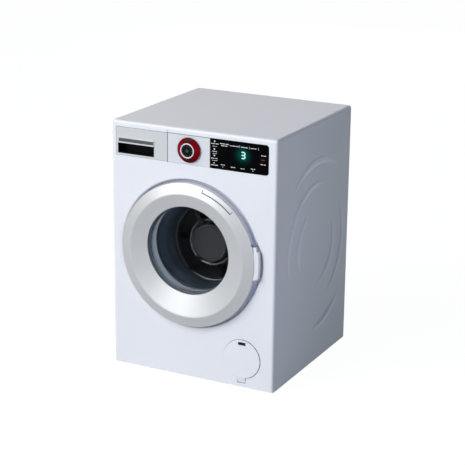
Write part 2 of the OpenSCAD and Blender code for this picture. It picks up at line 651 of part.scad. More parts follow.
// Bowl-shaped drum with six drain sectors in its back and a bead on either side of them.
module drum_shell() color(black_plastic) difference() {
  turned(door_x, drum_z) polygon([[0, floor_h - 2.2], [42.9, floor_h - 2.2], [47.9, -41.9], [51.1, -34.5],
    [52.7, -27.1], [52.9, -21.9], [52.1, lip_h - 0.2], [51.1, lip_h], [49.7, lip_h], [49.2, lip_h - 0.5],
    [49.5, lip_h - 1.2], [50.8, -23.1], [50.5, -27.1], [49, -33.9], [46.1, -40.5], [42.4, floor_h + 2.6],
    [41.6, floor_h + 0.7], [41.1, floor_h + 1.1], [40.4, floor_h + 1.25], [39.8, floor_h + 1],
    [39.4, floor_h], [25.4, floor_h], [25.2, floor_h + 0.7], [24.6, floor_h + bead_h - 0.2],
    [23.8, floor_h + bead_h], [23, floor_h + bead_h - 0.2], [22.4, floor_h + 0.7], [22.2, floor_h],
    [0, floor_h]]);
  bar(door_x, drum_z, shaft_r + seat, -60, 0);
  translate([door_x, front_y + 60, drum_z]) rotate([90, 0, 0]) linear_extrude(30) for (k = [0:5])
    difference() {
      intersection() {
        circle(38);
        polygon([[0, 0], polar(60, 60 * k + 0.6), polar(60, 60 * k + 25), polar(60, 60 * k + 49.4)]);
      }
      circle(26.6);
    }
}

// Three vanes that tumble the laundry, cut away over the drum's inner bead.
module drum_lifters() color(black_plastic) difference() {
  for (k = [0, 1, 2]) translate([door_x, front_y - floor_h - seat, drum_z]) rotate([90, 0, 0])
    rotate([0, 0, 120 * k + 234.5]) linear_extrude(5.5)
      polygon([[hub_r + 0.5, -2.8], [38, -2.1], [39.2, -0.8], [39.2, 0.8], [38, 2.1], [hub_r + 0.5, 2.8]]);
  turned(door_x, drum_z) polygon([[22.1, floor_h - 1], [25.5, floor_h - 1], [25.5, floor_h + bead_h + 0.1],
    [22.1, floor_h + bead_h + 0.1]]);
}

module drum_hub_cap() color(dark_plastic) turned(door_x, drum_z)
  polygon([[0, floor_h + seat], [hub_r, floor_h + seat], [hub_r, floor_h + 3.4], [hub_r - 0.5, floor_h + 4.1],
    [hub_r - 1.4, floor_h + 4.5], [hub_r - 2.6, floor_h + 4.5], [hub_r - 2.9, floor_h + 4.1],
    [hub_r - 3.5, floor_h + 4.1], [hub_r - 3.8, floor_h + 4.5], [0, floor_h + 4.5]]);

module drum_shaft() color(steel) bar(door_x, drum_z, shaft_r, layer_a - 1, floor_h);

module drum_gear() color("ivory") {
  gear(door_x, drum_z, drum_teeth, -90, layer_a, shaft_r + seat);
  difference() {
    bar(door_x, drum_z, 5.6, layer_a + gear_w, tub_back - 6.4);
    bar(door_x, drum_z, shaft_r + seat, -80, 0);
  }
}

// Compound gear between drum and motor.
module idler_gear() color("ivory") difference() {
  union() {
    gear(door_x, idler_z, idler_small_teeth, 90 + 180 / idler_small_teeth, layer_a, 1.55);
    gear(door_x, idler_z, idler_large_teeth, -90, layer_b, 1.55);
    bar(door_x, idler_z, 4.4, layer_b + gear_w - 0.5, layer_a + 0.5);
  }
  bar(door_x, idler_z, 1.55, -90, 0);
}

module idler_axle() color(steel) bar(door_x, idler_z, 1.5, -82, tub_back - 1.2);

// Plate that closes the gear train and carries the motor.
module gearbox_plate() color(grey_plastic) difference() {
  slab(front_y + 80 + seat, 2) {
    translate([door_x - 33, 66]) round_rect(66, 92, 6);
  }
  bar(door_x, idler_z, 1.51, -90, 0);
  bar(door_x, motor_z, 3.2, -90, 0);
  bar(door_x, drum_z, 4, -90, 0);
  for (p = drive_posts) bar(p[0], p[1], 1.5, -90, 0);
}

module gearbox_screws() color(steel) for (p = drive_posts) {
  bar(p[0], p[1], 2.8, -84, -82 - 2 * seat);
  bar(p[0], p[1], 1.2, -84, -70);
}

// Small direct-current motor: flattened can, front boss and end cap.
module motor() color(steel) difference() {
  union() {
    intersection() {
      bar(door_x, motor_z, 10, -107, -82 - 2 * seat);
      block(door_x - 7.6, door_x + 7.6, -110, -80, motor_z - 12, motor_z + 12);
    }
    bar(door_x, motor_z, 3.1, -84, -80.2);
    bar(door_x, motor_z, 4, -109, -106);
  }
  bar(door_x, motor_z, 1.05, -112, -70);
}

module motor_shaft() color(steel) bar(door_x, motor_z, 1, -110, layer_b + gear_w - 0.5);

module motor_pinion() color("goldenrod")
  gear(door_x, motor_z, pinion_teeth, 90 + 180 / pinion_teeth, layer_b, 1 + seat);

// ---- rear: sound and batteries ----

module speaker() color(dark_plastic) {
  y = back_y - wall - seat;
  translate([speaker_x, y, speaker_z]) rotate([90, 0, 0]) {
    difference() {
      cylinder(r = 20, h = 3);
      translate([0, 0, -1]) cylinder(r = 17, h = 3);
    }
    translate([0, 0, 2.8]) cylinder(r1 = 17, r2 = 10, h = 4);
    translate([0, 0, 6.6]) cylinder(r = 11, h = 5);
  }
}

cell_r = 7.1;
cell_pitch = 15.4;
cell_y = back_y - wall - 10;
cell_z0 = 34.5;
cell_len = 49.2;

module battery_box() color(white_plastic) difference() {
  translate([-bay_x - 2, back_y - wall - 20, bay_z0 - 2])
    cube([2 * bay_x + 4, 20 - seat, bay_z1 - bay_z0 + 4]);
  translate([-bay_x + 2, back_y - wall - 18.4, bay_z0 + 2]) cube([2 * bay_x - 4, 30, bay_z1 - bay_z0 - 4]);
}

module batteries() color("darkorange") for (k = [-1, 0, 1])
  translate([k * cell_pitch, cell_y, cell_z0 + cell_len / 2]) rotate([k == 0 ? 180 : 0, 0, 0])
    translate([0, 0, -cell_len / 2]) {
      cylinder(r = cell_r, h = cell_len);
      cylinder(r = 2.7, h = cell_len + 1.1, $fn = 32);
    }

// Coil springs for the flat ends and plates for the raised ends.
module battery_contacts() color(steel) for (k = [-1, 0, 1])
  translate([k * cell_pitch, cell_y, cell_z0 + cell_len / 2]) rotate([k == 0 ? 180 : 0, 0, 0]) {
    translate([-5, -5, cell_len / 2 + 1.1 + seat]) cube([10, 10, 0.5]);
    translate([-5, -5, -cell_len / 2 - 6.3]) cube([10, 10, 0.5]);
    for (i = [0:4]) translate([0, 0, -cell_len / 2 - 5.4 + 1.22 * i])
      rotate_extrude($fn = 32) translate([4.4 - 0.35 * i, 0]) circle(0.4, $fn = 14);
    translate([0, 0, -cell_len / 2 - 5.9]) cylinder(r = 0.5, h = 5.5, $fn = 14);
  }

module battery_cover() color(white_plastic) difference() {
  union() {
    translate([-bay_x + gap, back_y - wall, bay_z0 + gap])
      cube([2 * (bay_x - gap), wall, bay_z1 - bay_z0 - 2 * gap]);
    translate([-20, back_y - wall - 1.2, bay_z0 + 4.6]) cube([6, 1.4, 2]);
    translate([14, back_y - wall - 1.2, bay_z0 + 4.6]) cube([6, 1.4, 2]);
  }
  for (k = [0:4]) translate([-16, back_y - 0.6, 34 + 3 * k]) cube([32, 2, 1.2]);
  translate([0, back_y + 1, bay_z1 - 5]) rotate([90, 0, 0]) {
    cylinder(r = 3.2, h = 2.4, $fn = 32);
    cylinder(r = 1.7, h = 10, $fn = 32);
  }
}

module screw_head(x, y, z, r, len) {
  translate([x, y, z]) rotate([90, 0, 0]) difference() {
    union() {
      cylinder(r = r, h = 1.3, $fn = 32);
      cylinder(r = 1.5, h = len, $fn = 32);
    }
    translate([-r * 0.65, -0.4, -1]) cube([r * 1.3, 0.8, 1.6]);
    translate([-0.4, -r * 0.65, -1]) cube([0.8, r * 1.3, 1.6]);
  }
}

module battery_cover_screw() color(steel) screw_head(0, back_y - 0.1 + seat, bay_z1 - 5, 3, 1.3);

module back_screws() color(steel) for (p = screw_xz) screw_head(p[0], back_y - 1.7 + seat, p[1], 3, 8);

// ---- service flap ----

module service_flap() color(white_plastic) difference() {
  union() {
    turned(flap_x, flap_z) polygon([[0, -2.2], [flap_r - gap, -2.2], [flap_r - gap, flap_up - 0.25],
      [flap_r - gap - 0.25, flap_up], [0, flap_up]]);
    // the tab slopes down to the hinge
    translate([tab_x0 + gap, front_y, 0]) rotate([90, 0, 90]) linear_extrude(tab_x1 - tab_x0 - 2 * gap)
      polygon([[2.2, flap_axis_z], [2.2, flap_z - 10], [-flap_up, flap_z - 10], [-flap_up, 12.5],
        [0, flap_axis_z]]);
    translate([tab_x0 + gap, front_y - flap_axis_h, flap_axis_z]) rotate([0, 90, 0])
      cylinder(r = 1.3, h = tab_x1 - tab_x0 - 2 * gap, $fn = 32);
    translate([tab_x0 - 1.1, front_y - flap_axis_h, flap_axis_z]) rotate([0, 90, 0])
      cylinder(r = 0.8, h = tab_x1 - tab_x0 + 2.2, $fn = 32);
  }
  // finger slot near the top edge
  block(flap_x - 3.8, flap_x + 4.3, -5, 2, 46.2, 49.4);
}

front_panel();
cabinet();
back_panel();
base_plate();
feet();
control_fascia();
display_window();
display_led();
circuit_board();
rotary_switch();
drawer_housing();
door_seal();
tub();
drum_bearing();
gearbox_plate();
gearbox_screws();
idler_axle();
motor();
door_hinge_bracket();
door_hinge_pin();
speaker();
battery_box();
batteries();
battery_contacts();
battery_cover();
battery_cover_screw();
back_screws();
door_ring();
door_shell();
window_bezel();
window_lens();
door_handle();
door_tongue();
drum_shell();
drum_lifters();
drum_hub_cap();
drum_shaft();
drum_gear();
idler_gear();
motor_shaft();
motor_pinion();
knob_skirt();
knob_collar();
knob_shaft();
start_button();
button_plunger();
drawer_front();
drawer_tray();
drawer_grip();
drawer_trim();
service_flap();
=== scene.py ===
# Toy front-loading washing machine: finishes, printed marks, small trims, camera and light.
import math

import bmesh
import bpy
from mathutils import Matrix, Vector


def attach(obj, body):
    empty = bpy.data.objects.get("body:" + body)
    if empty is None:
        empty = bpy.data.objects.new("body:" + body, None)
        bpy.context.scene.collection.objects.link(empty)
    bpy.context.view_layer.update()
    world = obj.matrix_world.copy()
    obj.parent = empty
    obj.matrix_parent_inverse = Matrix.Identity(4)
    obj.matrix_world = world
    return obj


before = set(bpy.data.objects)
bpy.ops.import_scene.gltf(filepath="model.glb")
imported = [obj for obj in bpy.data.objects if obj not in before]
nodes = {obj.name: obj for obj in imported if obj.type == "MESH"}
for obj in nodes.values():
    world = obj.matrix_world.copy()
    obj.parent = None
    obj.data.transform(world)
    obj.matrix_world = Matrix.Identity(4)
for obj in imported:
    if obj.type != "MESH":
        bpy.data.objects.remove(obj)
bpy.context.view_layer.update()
print("frame loaded with", len(nodes), "pieces")

mm = 0.001
# places on the front that shades and marks are set out from, in millimetres
front = {"faceY": -84.25, "doorX": -3.0, "doorZ": 132.0, "knobX": -3.5, "knobZ": 239.0}


def addNode(tree, kind, place=(0, 0), **settings):
    node = tree.nodes.new(kind)
    node.location = place
    for name, value in settings.items():
        setattr(node, name, value)
    return node


# a socket takes either another node's output or a plain value
def feed(tree, socket, value):
    if hasattr(value, "is_output"):
        tree.links.new(value, socket)
    else:
        socket.default_value = value


def mathNode(tree, operation, a, b=None, clamp=False):
    node = addNode(tree, "ShaderNodeMath", operation=operation, use_clamp=clamp)
    feed(tree, node.inputs[0], a)
    if b is not None:
        feed(tree, node.inputs[1], b)
    return node.outputs[0]


def mixColour(tree, factor, a, b):
    node = addNode(tree, "ShaderNodeMix", data_type="RGBA")
    for index, value in ((0, factor), (6, a), (7, b)):
        feed(tree, node.inputs[index], value)
    return node.outputs[2]


def mixShader(tree, factor, first, second, output):
    node = addNode(tree, "ShaderNodeMixShader", (500, 0))
    for index, value in enumerate((factor, first.outputs[0], second.outputs[0])):
        tree.links.new(value, node.inputs[index])
    tree.links.new(node.outputs[0], output.inputs[0])


# low to high becomes outLow to outHigh, with soft ends
def remap(tree, value, low, high, outLow=0.0, outHigh=1.0):
    node = addNode(tree, "ShaderNodeMapRange", interpolation_type="SMOOTHSTEP")
    tree.links.new(value, node.inputs[0])
    for index, number in enumerate((low, high, outLow, outHigh)):
        node.inputs[index + 1].default_value = number
    return node.outputs[0]


def newGroup(name, inputs, outputs):
    group = bpy.data.node_groups.new(name, "ShaderNodeTree")
    for socketName, kind, value in inputs:
        socket = group.interface.new_socket(name=socketName, in_out="INPUT", socket_type=kind)
        socket.default_value = value
    for socketName, kind in outputs:
        group.interface.new_socket(name=socketName, in_out="OUTPUT", socket_type=kind)
    return group, addNode(group, "NodeGroupInput", (-900, 0)), addNode(group, "NodeGroupOutput", (600, 0))


def useGroup(tree, group, **values):
    node = addNode(tree, "ShaderNodeGroup")
    node.node_tree = group
    for name, value in values.items():
        feed(tree, node.inputs[name], value)
    return node


def noise(tree, scale, detail):
    node = addNode(tree, "ShaderNodeTexNoise")
    tree.links.new(addNode(tree, "ShaderNodeTexCoord").outputs["Object"], node.inputs["Vector"])
    feed(tree, node.inputs["Scale"], scale)
    feed(tree, node.inputs["Detail"], detail)
    return node.outputs[0]


colourSocket, floatSocket, vectorSocket = "NodeSocketColor", "NodeSocketFloat", "NodeSocketVector"


# moulded plastic: slow drifts of tone and gloss, and the fine grain of the mould
mould = {"driftDetail": 4, "driftFrom": 0.35, "driftTo": 0.7, "grainDetail": 2, "smearScale": 90, "smearDetail": 5}


def makeMouldGroup():
    group, given, result = newGroup(
        "mouldedSurface",
        [("Colour", colourSocket, (0.8, 0.8, 0.8, 1)), ("Drift Colour", colourSocket, (0.75, 0.75, 0.75, 1)),
         ("Drift Scale", floatSocket, 30.0), ("Grain Scale", floatSocket, 2500.0),
         ("Gloss", floatSocket, 0.3), ("Gloss Spread", floatSocket, 0.06)],
        [("Colour", colourSocket), ("Roughness", floatSocket), ("Height", floatSocket)])
    drift = remap(group, noise(group, given.outputs["Drift Scale"], mould["driftDetail"]),
                  mould["driftFrom"], mould["driftTo"])
    group.links.new(mixColour(group, drift, given.outputs["Colour"], given.outputs["Drift Colour"]),
                    result.inputs["Colour"])
    # the noise swings around 0.5, so twice its offset reaches the full spread
    smears = mathNode(group, "SUBTRACT", noise(group, mould["smearScale"], mould["smearDetail"]), 0.5)
    sway = mathNode(group, "MULTIPLY", smears, given.outputs["Gloss Spread"])
    group.links.new(mathNode(group, "ADD", given.outputs["Gloss"], mathNode(group, "MULTIPLY", sway, 2.0)),
                    result.inputs["Roughness"])
    group.links.new(noise(group, given.outputs["Grain Scale"], mould["grainDetail"]), result.inputs["Height"])
    return group


# edges catch light as moulded edges do, and the mask finds where hands rub them
edgeWear = {"samples": 6, "patchScale": 140, "patchDetail": 6, "patchFrom": 0.42, "patchTo": 0.62, "gloss": 0.12}


def makeEdgeGroup():
    group, given, result = newGroup(
        "edgeWear", [("Radius", floatSocket, 0.0004), ("Reach", floatSocket, 6.0)],
        [("Normal", vectorSocket), ("Wear", floatSocket)])
    bevel = addNode(group, "ShaderNodeBevel", samples=edgeWear["samples"])
    group.links.new(given.outputs["Radius"], bevel.inputs["Radius"])
    geometry = addNode(group, "ShaderNodeNewGeometry")
    dot = addNode(group, "ShaderNodeVectorMath", operation="DOT_PRODUCT")
    group.links.new(bevel.outputs[0], dot.inputs[0])
    group.links.new(geometry.outputs["Normal"], dot.inputs[1])
    bend = mathNode(group, "SUBTRACT", 1.0, dot.outputs["Value"])
    away = mathNode(group, "MULTIPLY", bend, given.outputs["Reach"], True)
    patches = remap(group, noise(group, edgeWear["patchScale"], edgeWear["patchDetail"]),
                    edgeWear["patchFrom"], edgeWear["patchTo"])
    group.links.new(bevel.outputs[0], result.inputs["Normal"])
    group.links.new(mathNode(group, "MULTIPLY", away, patches), result.inputs["Wear"])
    return group


# dust that settles on faces turned upwards
dust = {"scale": 60, "detail": 8, "from": 0.45, "to": 0.75, "slope": (0.3, 1.0), "colour": (0.55, 0.54, 0.52, 1)}


def makeDustGroup():
    group, given, result = newGroup("settledDust", [("Amount", floatSocket, 0.05)], [("Mask", floatSocket)])
    geometry = addNode(group, "ShaderNodeNewGeometry")
    split = addNode(group, "ShaderNodeSeparateXYZ")
    group.links.new(geometry.outputs["Normal"], split.inputs[0])
    upwards = remap(group, split.outputs[2], *dust["slope"])
    specks = remap(group, noise(group, dust["scale"], dust["detail"]), dust["from"], dust["to"])
    lying = mathNode(group, "MULTIPLY", upwards, specks)
    group.links.new(mathNode(group, "MULTIPLY", lying, given.outputs["Amount"], True), result.inputs["Mask"])
    return group


# fine turned lines around an axis that runs front to back
def makeRingLineGroup():
    group, given, result = newGroup(
        "turnedLines", [("Centre", vectorSocket, (0, 0, 0)), ("Lines", floatSocket, 900.0)],
        [("Height", floatSocket), ("Distance", floatSocket)])
    where = addNode(group, "ShaderNodeTexCoord")
    offset = addNode(group, "ShaderNodeVectorMath", operation="SUBTRACT")
    group.links.new(where.outputs["Object"], offset.inputs[0])
    group.links.new(given.outputs["Centre"], offset.inputs[1])
    flat = addNode(group, "ShaderNodeVectorMath", operation="MULTIPLY")
    flat.inputs[1].default_value = (1, 0, 1)
    group.links.new(offset.outputs[0], flat.inputs[0])
    length = addNode(group, "ShaderNodeVectorMath", operation="LENGTH")
    group.links.new(flat.outputs[0], length.inputs[0])
    wave = mathNode(group, "SINE", mathNode(group, "MULTIPLY", length.outputs["Value"], given.outputs["Lines"]))
    # half the wave, raised by the half that this node adds unasked, runs from 0 to 1
    group.links.new(mathNode(group, "MULTIPLY_ADD", wave, 0.5), result.inputs["Height"])
    group.links.new(length.outputs["Value"], result.inputs["Distance"])
    return group


# light that fades away from a point, as behind a display
def makeGlowGroup():
    group, given, result = newGroup(
        "softGlow", [("Centre", vectorSocket, (0, 0, 0)), ("Reach", floatSocket, 0.01)], [("Mask", floatSocket)])
    where = addNode(group, "ShaderNodeTexCoord")
    apart = addNode(group, "ShaderNodeVectorMath", operation="DISTANCE")
    group.links.new(where.outputs["Object"], apart.inputs[0])
    group.links.new(given.outputs["Centre"], apart.inputs[1])
    near = mathNode(group, "DIVIDE", apart.outputs["Value"], given.outputs["Reach"])
    fade = mathNode(group, "EXPONENT", mathNode(group, "MULTIPLY", mathNode(group, "MULTIPLY", near, near), -1.0))
    group.links.new(fade, result.inputs["Mask"])
    return group


mouldGroup = makeMouldGroup()
edgeGroup = makeEdgeGroup()
dustGroup = makeDustGroup()
ringLineGroup = makeRingLineGroup()
glowGroup = makeGlowGroup()
print("shared effects ready")


def blankMaterial(name):
    material = bpy.data.materials.new(name)
    material.use_nodes = True
    tree = material.node_tree
    tree.nodes.clear()
    shader = addNode(tree, "ShaderNodeBsdfPrincipled", (300, 0))
    output = addNode(tree, "ShaderNodeOutputMaterial", (700, 0))
    tree.links.new(shader.outputs[0], output.inputs[0])
    return material, tree, shader, output


# the mould's grain stands on the softened edges, if there are any; depth is in millimetres
def addGrain(tree, shader, height, depth, edges=None):
    bump = addNode(tree, "ShaderNodeBump")
    bump.inputs["Distance"].default_value = depth * mm
    tree.links.new(height, bump.inputs["Height"])
    if edges:
        tree.links.new(edges.outputs["Normal"], bump.inputs["Normal"])
    tree.links.new(bump.outputs[0], shader.inputs["Normal"])


def tone(colour, factor=1.0):
    return (colour[0] * factor, colour[1] * factor, colour[2] * factor, 1.0)


# one moulded or painted finish; every entry of the dictionary can be changed on its own
def makeFinish(name, colour, drift=0.94, driftScale=25.0, grainScale=2500.0, grain=0.02, gloss=0.3, spread=0.05,
               metallic=0.0, specular=0.5, coat=0.0, coatGloss=0.1, edge=0.4, wearColour=None, wear=0.4, dusty=0.0,
               lines=0.0, linePitch=900.0, lineCentre=(0, 0, 0), shade=None):
    material, tree, shader, _ = blankMaterial(name)
    surface = useGroup(tree, mouldGroup, **{
        "Colour": tone(colour), "Drift Colour": tone(colour, drift), "Drift Scale": driftScale,
        "Grain Scale": grainScale, "Gloss": gloss, "Gloss Spread": spread})
    edges = useGroup(tree, edgeGroup, Radius=edge * mm)
    base = surface.outputs["Colour"]
    if shade:
        base = shade(tree, base, shader)
    if wearColour:
        base = mixColour(tree, mathNode(tree, "MULTIPLY", edges.outputs["Wear"], wear), base, tone(wearColour))
    roughness = mathNode(tree, "ADD", surface.outputs["Roughness"],
                         mathNode(tree, "MULTIPLY", edges.outputs["Wear"], edgeWear["gloss"]), True)
    if dusty:
        film = useGroup(tree, dustGroup, Amount=dusty)
        base = mixColour(tree, film.outputs["Mask"], base, dust["colour"])
        roughness = mathNode(tree, "ADD", roughness, film.outputs["Mask"], True)
    height = surface.outputs["Height"]
    if lines:
        turned = useGroup(tree, ringLineGroup, Centre=[v * mm for v in lineCentre], Lines=linePitch)
        height = mathNode(tree, "ADD", height, mathNode(tree, "MULTIPLY", turned.outputs["Height"], lines))
    addGrain(tree, shader, height, grain, edges)
    tree.links.new(base, shader.inputs["Base Color"])
    tree.links.new(roughness, shader.inputs["Roughness"])
    shader.inputs["Metallic"].default_value = metallic
    shader.inputs["Specular IOR Level"].default_value = specular
    shader.inputs["Coat Weight"].default_value = coat
    shader.inputs["Coat Roughness"].default_value = coatGloss
    return material


crisp = 0.05  # softness of a sharp line's sides, in millimetres


# 1 where a length in metres lies between low and high millimetres, with soft sides
def within(tree, value, low, high, soft=0.3):
    above = remap(tree, value, (low - soft) * mm, (low + soft) * mm)
    below = remap(tree, value, (high - soft) * mm, (high + soft) * mm, 1.0, 0.0)
    return mathNode(tree, "MULTIPLY", above, below)


def splitVector(tree, source):
    node = addNode(tree, "ShaderNodeSeparateXYZ")
    tree.links.new(addNode(tree, "ShaderNodeTexCoord").outputs[source], node.inputs[0])
    return node.outputs


# distance from a point of the front, given in millimetres, seen along the depth
def ringDistance(tree, x, z):
    return useGroup(tree, ringLineGroup, Centre=(x * mm, 0, z * mm)).outputs["Distance"]


# direction around such a point in degrees, from the right upwards
def ringAngle(tree, x, z):
    place = splitVector(tree, "Object")
    across = mathNode(tree, "SUBTRACT", place[0], x * mm)
    turned = mathNode(tree, "ARCTAN2", mathNode(tree, "SUBTRACT", place[2], z * mm), across)
    return mathNode(tree, "MULTIPLY", turned, 180 / math.pi)


# from 0 at the first of two places to 1 at the second, in millimetres, or between two other values
def rise(tree, value, places, outLow=0.0, outHigh=1.0):
    return remap(tree, value, places[0] * mm, places[1] * mm, outLow, outHigh)


# painted shade and highlight: the white of both sides is painted darker towards the lower rear, and the ridges' crests
# are painted lighter as a highlight
sideShadePaint = {"from": (90.0, 91.8), "below": (256.0, 259.0), "rear": (-60.0, 94.0), "low": (0.0, 150.0), "share": 0.5,
            "paintedShade": (0.49, 0.546, 0.604, 1), "crest": (92.15, 92.9), "crestHighlight": (0.93, 0.95, 0.99, 1)}


def paintedSideShade(tree, base, shader):
    across, depth, height = splitVector(tree, "Object")
    outwards = mathNode(tree, "ABSOLUTE", across)
    side = mathNode(tree, "MULTIPLY", rise(tree, outwards, sideShadePaint["from"]),
                    rise(tree, height, sideShadePaint["below"], 1.0, 0.0))
    rear = rise(tree, depth, sideShadePaint["rear"], 0.0, sideShadePaint["share"])
    low = rise(tree, height, sideShadePaint["low"], sideShadePaint["share"], 0.0)
    # painted highlight along the crests of the ridges
    base = mixColour(tree, rise(tree, outwards, sideShadePaint["crest"]), base, sideShadePaint["crestHighlight"])
    # painted shade that deepens towards the lower rear
    shadeAmount = mathNode(tree, "MULTIPLY", side, mathNode(tree, "ADD", rear, low))
    return mixColour(tree, shadeAmount, base, sideShadePaint["paintedShade"])


# painted shade: the dish around the door is painted a bluish shade, deepest above the door, its deep pocket is painted
# lighter against its shadow, and the gap around the flap is painted dark as its shadow;
# level, starts, pocketFrom and sunk are depths, and topFrom is a height over the door's middle, in millimetres
dish = {"reach": 86.0, "edge": (0.52, 0.53, 0.62, 1), "floor": (0.7, 0.715, 0.82, 1), "top": (0.47, 0.48, 0.56, 1),
        "pocket": (0.93, 0.94, 1.0, 1), "gap": (0.16, 0.17, 0.2, 1), "flapAt": (56.8, 31.4), "flapGap": (20.3, 21.6),
        "topFrom": (42.0, 74.0), "starts": (-84.2, -83.4), "level": (-81.9, -81.0), "pocketFrom": (-80.6, -79.4),
        "sunk": -84.15}


def paintedFrontShade(tree, base, shader):
    place = splitVector(tree, "Object")
    near = mathNode(tree, "LESS_THAN", ringDistance(tree, front["doorX"], front["doorZ"]), dish["reach"] * mm)
    height = mathNode(tree, "SUBTRACT", place[2], front["doorZ"] * mm)
    floorTone = mixColour(tree, rise(tree, height, dish["topFrom"]), dish["floor"], dish["top"])
    shaded = mixColour(tree, rise(tree, place[1], dish["level"]), dish["edge"], floorTone)
    shaded = mixColour(tree, rise(tree, place[1], dish["pocketFrom"]), shaded, dish["pocket"])
    inDish = mathNode(tree, "MULTIPLY", near, rise(tree, place[1], dish["starts"]))
    # painted shade in the dish, and painted light in its pocket
    base = mixColour(tree, inDish, base, shaded)
    gap = within(tree, ringDistance(tree, *dish["flapAt"]), *dish["flapGap"], crisp)
    sunk = mathNode(tree, "GREATER_THAN", place[1], dish["sunk"] * mm)
    # painted shadow in the gap around the flap
    base = mixColour(tree, mathNode(tree, "MULTIPLY", gap, sunk), base, dish["gap"])
    return paintedSideShade(tree, base, shader)


# painted shade: the flap is white only where it faces forwards, and its sides are painted dark as its shadow
flapSideShade = {"facing": -0.5, "tone": dish["gap"]}


def paintedFlapShade(tree, base, shader):
    away = mathNode(tree, "GREATER_THAN", splitVector(tree, "Normal")[1], flapSideShade["facing"])
    return mixColour(tree, away, base, flapSideShade["tone"])


# painted shade: the groove along the ring's label field is painted dark, with a hook at both ends; radii in
# millimetres, angles in degrees
label = {"line": (69.4, 70.3), "ends": (46.0, 75.5), "past": (0.2, 0.35), "hook": (69.8, 73.0),
         "hookWide": (0.25, 0.33), "tone": (0.1, 0.105, 0.11, 1)}


def paintedRingShade(tree, base, shader):
    radius = ringDistance(tree, front["doorX"], front["doorZ"])
    angle = ringAngle(tree, front["doorX"], front["doorZ"])
    first, last = label["ends"]
    half = (last - first) / 2
    fromMiddle = mathNode(tree, "ABSOLUTE", mathNode(tree, "SUBTRACT", angle, first + half))
    grooveShadow = mathNode(tree, "MULTIPLY", within(tree, radius, *label["line"], crisp),
                     remap(tree, fromMiddle, half + label["past"][0], half + label["past"][1], 1.0, 0.0))
    for end in label["ends"]:
        apart = mathNode(tree, "ABSOLUTE", mathNode(tree, "SUBTRACT", angle, end))
        hook = mathNode(tree, "MULTIPLY", remap(tree, apart, *label["hookWide"], 1.0, 0.0),
                        within(tree, radius, *label["hook"], crisp))
        grooveShadow = mathNode(tree, "MAXIMUM", grooveShadow, hook)
    return mixColour(tree, grooveShadow, base, label["tone"])


# the dial's cap is lighter in its middle
capMiddle = {"reach": (0.9, 2.5), "tone": (0.05, 0.066, 0.067, 1)}


def capShade(tree, base, shader):
    radius = ringDistance(tree, front["knobX"], front["knobZ"])
    return mixColour(tree, rise(tree, radius, capMiddle["reach"], 1.0, 0.0), base, capMiddle["tone"])


# painted shade and reflection: the dial's red is painted darker above and below than on its flanks
knobShadePaint = {"facing": (0.12, 0.5), "paintedShade": (0.07, 0.001, 0.004, 1)}


def paintedKnobShade(tree, base, shader):
    across = mathNode(tree, "ABSOLUTE", splitVector(tree, "Normal")[0])
    # painted shade above and below the dial, painted light on its flanks
    return mixColour(tree, remap(tree, across, *knobShadePaint["facing"]), knobShadePaint["paintedShade"], base)


# painted light and shade: the seal is light only along the middle of its sleeve, most of all where it faces right, and
# painted dark elsewhere
sealLightAndShade = {"sleeve": (-78.2, -70.6), "paintedDark": (0.02, 0.024, 0.03, 1), "facing": (0.1, 0.95), "low": 0.42}


def paintedSealShade(tree, base, shader):
    sleeve = within(tree, splitVector(tree, "Object")[1], *sealLightAndShade["sleeve"])
    facing = remap(tree, splitVector(tree, "Normal")[0], *sealLightAndShade["facing"], sealLightAndShade["low"], 1.0)
    return mixColour(tree, mathNode(tree, "MULTIPLY", sleeve, facing), sealLightAndShade["paintedDark"], base)


# painted light and shade: the window's frame is light only where it faces right, painted dark elsewhere, and its
# rearmost rim is painted lighter than the rest
bezelLightAndShade = {"from": (-80.4, -80.0), "facing": (-0.1, 0.85), "rim": (0.34, 0.38, 0.43, 1),
             "paintedDark": (0.045, 0.05, 0.06, 1)}


def paintedBezelShade(tree, base, shader):
    facing = remap(tree, splitVector(tree, "Normal")[0], *bezelLightAndShade["facing"])
    tones = mixColour(tree, rise(tree, splitVector(tree, "Object")[1], bezelLightAndShade["from"]), base, bezelLightAndShade["rim"])
    return mixColour(tree, facing, bezelLightAndShade["paintedDark"], tones)


# drum: blue-black wall with painted light at its mouth and painted shade towards its foot and over the black floor, and
# polished beads around the floor
drumRings = {"floorTo": (34.0, 50.0), "floor": (0.0008, 0.0009, 0.0013, 1), "mouthLight": (0.1, 0.13, 0.165, 1),
             "mouthTo": (-62.5, -58.0), "foot": (0.02, 0.027, 0.036, 1), "footTo": (-54.0, -41.0), "soft": 0.15,
             "inner": (22.1, 25.5), "outer": (39.3, 42.0), "outerShare": 0.5, "coatIor": 1.9}


def paintedDrumShade(tree, base, shader):
    radius = ringDistance(tree, front["doorX"], front["doorZ"])
    inner = within(tree, radius, *drumRings["inner"], drumRings["soft"])
    outer = mathNode(tree, "MULTIPLY", within(tree, radius, *drumRings["outer"], drumRings["soft"]),
                     drumRings["outerShare"])
    tree.links.new(mathNode(tree, "ADD", inner, outer, True), shader.inputs["Coat Weight"])
    shader.inputs["Coat IOR"].default_value = drumRings["coatIor"]
    depth = splitVector(tree, "Object")[1]
    # painted shade towards the foot of the wall
    wall = mixColour(tree, rise(tree, depth, drumRings["footTo"]), base, drumRings["foot"])
    # painted shade turns the floor black
    bowl = mixColour(tree, rise(tree, radius, drumRings["floorTo"]), drumRings["floor"], wall)
    # painted light at the drum's mouth
    return mixColour(tree, rise(tree, depth, drumRings["mouthTo"], 1.0, 0.0), bowl, drumRings["mouthLight"])
